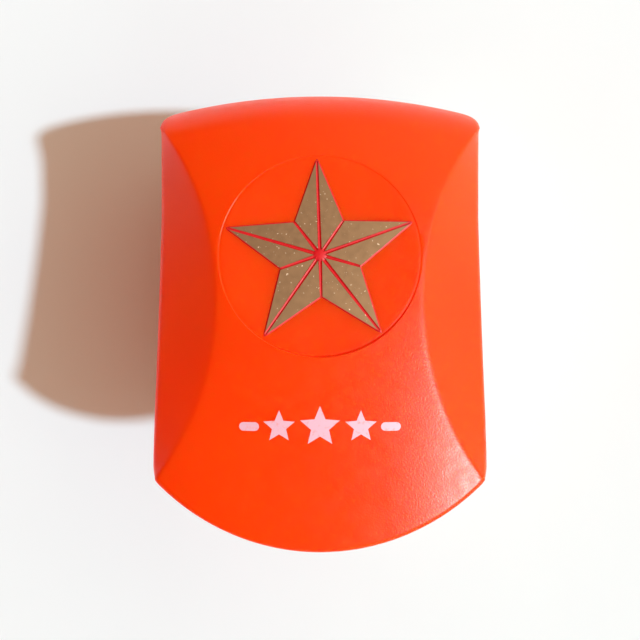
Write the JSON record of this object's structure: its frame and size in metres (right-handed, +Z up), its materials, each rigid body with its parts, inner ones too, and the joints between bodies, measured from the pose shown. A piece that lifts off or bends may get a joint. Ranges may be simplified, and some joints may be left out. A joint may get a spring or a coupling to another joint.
{
  "type": "craft punch",
  "caption": "Hand-held lever punch that cuts a star from paper: a wide curved lever cover over a base with a paper slot, sprung plunger, die and chip outlet.",
  "frame": {"origin": "on the surface the punch stands on, under the middle of its outline", "axes": "+Z up, +Y towards the pivot and the paper slot, -Y towards the thumb end of the lever, +X to the right"},
  "size_m": [0.049, 0.0678, 0.0508],
  "materials": {
    "cover_plastic": "translucent orange-red moulded plastic, satin gloss with a fine grain",
    "bronze_foil": "hot-stamped bronze foil",
    "base_plastic": "off-white moulded plastic, fine spark texture",
    "plunger_plastic": "dark grey acetal",
    "pad_plastic": "natural nylon",
    "plate_steel": "ground steel plate",
    "cutter_steel": "hardened and ground tool steel",
    "frame_steel": "zinc-plated pressed steel",
    "screw_steel": "zinc-plated steel",
    "pin_steel": "polished steel",
    "spring_steel": "bright spring wire"
  },
  "bodies": {
    "base": {"bottom_cover": "base_plastic", "bottom_screws": "screw_steel", "base_lower": "base_plastic", "die_plate": "plate_steel", "die_screws": "screw_steel", "throat_spacer": "plate_steel", "guide_plate": "plate_steel", "guide_screws": "screw_steel", "frame_rivets": "pin_steel", "base_upper": "base_plastic", "return_spring": "spring_steel", "spring_washer": "plate_steel", "plunger_retainer": "base_plastic", "retainer_screws": "screw_steel", "pivot_pin": "pin_steel", "pivot_washers": "pin_steel"},
    "plunger": {"star_punch": "cutter_steel", "plunger": "plunger_plastic", "plunger_screw": "screw_steel"},
    "lever": {"lever_frame": "frame_steel", "pivot_bushes": "pad_plastic", "press_pad": "pad_plastic", "pad_rivets": "pin_steel", "cover_screws": "screw_steel", "lever_cover": "cover_plastic", "star_foil": "bronze_foil"}
  },
  "joints": [
    {"name": "lever_hinge", "type": "hinge", "parent": "base", "child": "lever", "pos_m": [0, 0.023, 0.03], "axis": [1, 0, 0], "range_deg": [0, 13], "stiffness_Nm_per_rad": 0.067, "springref_deg": -53.29},
    {"name": "plunger_slide", "type": "slide", "parent": "base", "child": "plunger", "axis": [0, 0, -1], "range_m": [0, 0.00365], "deforming": ["return_spring"]}
  ],
  "couplings": [
    {"joint": "plunger_slide", "follows": "lever_hinge", "m_per_rad": 0.0159}
  ]
}
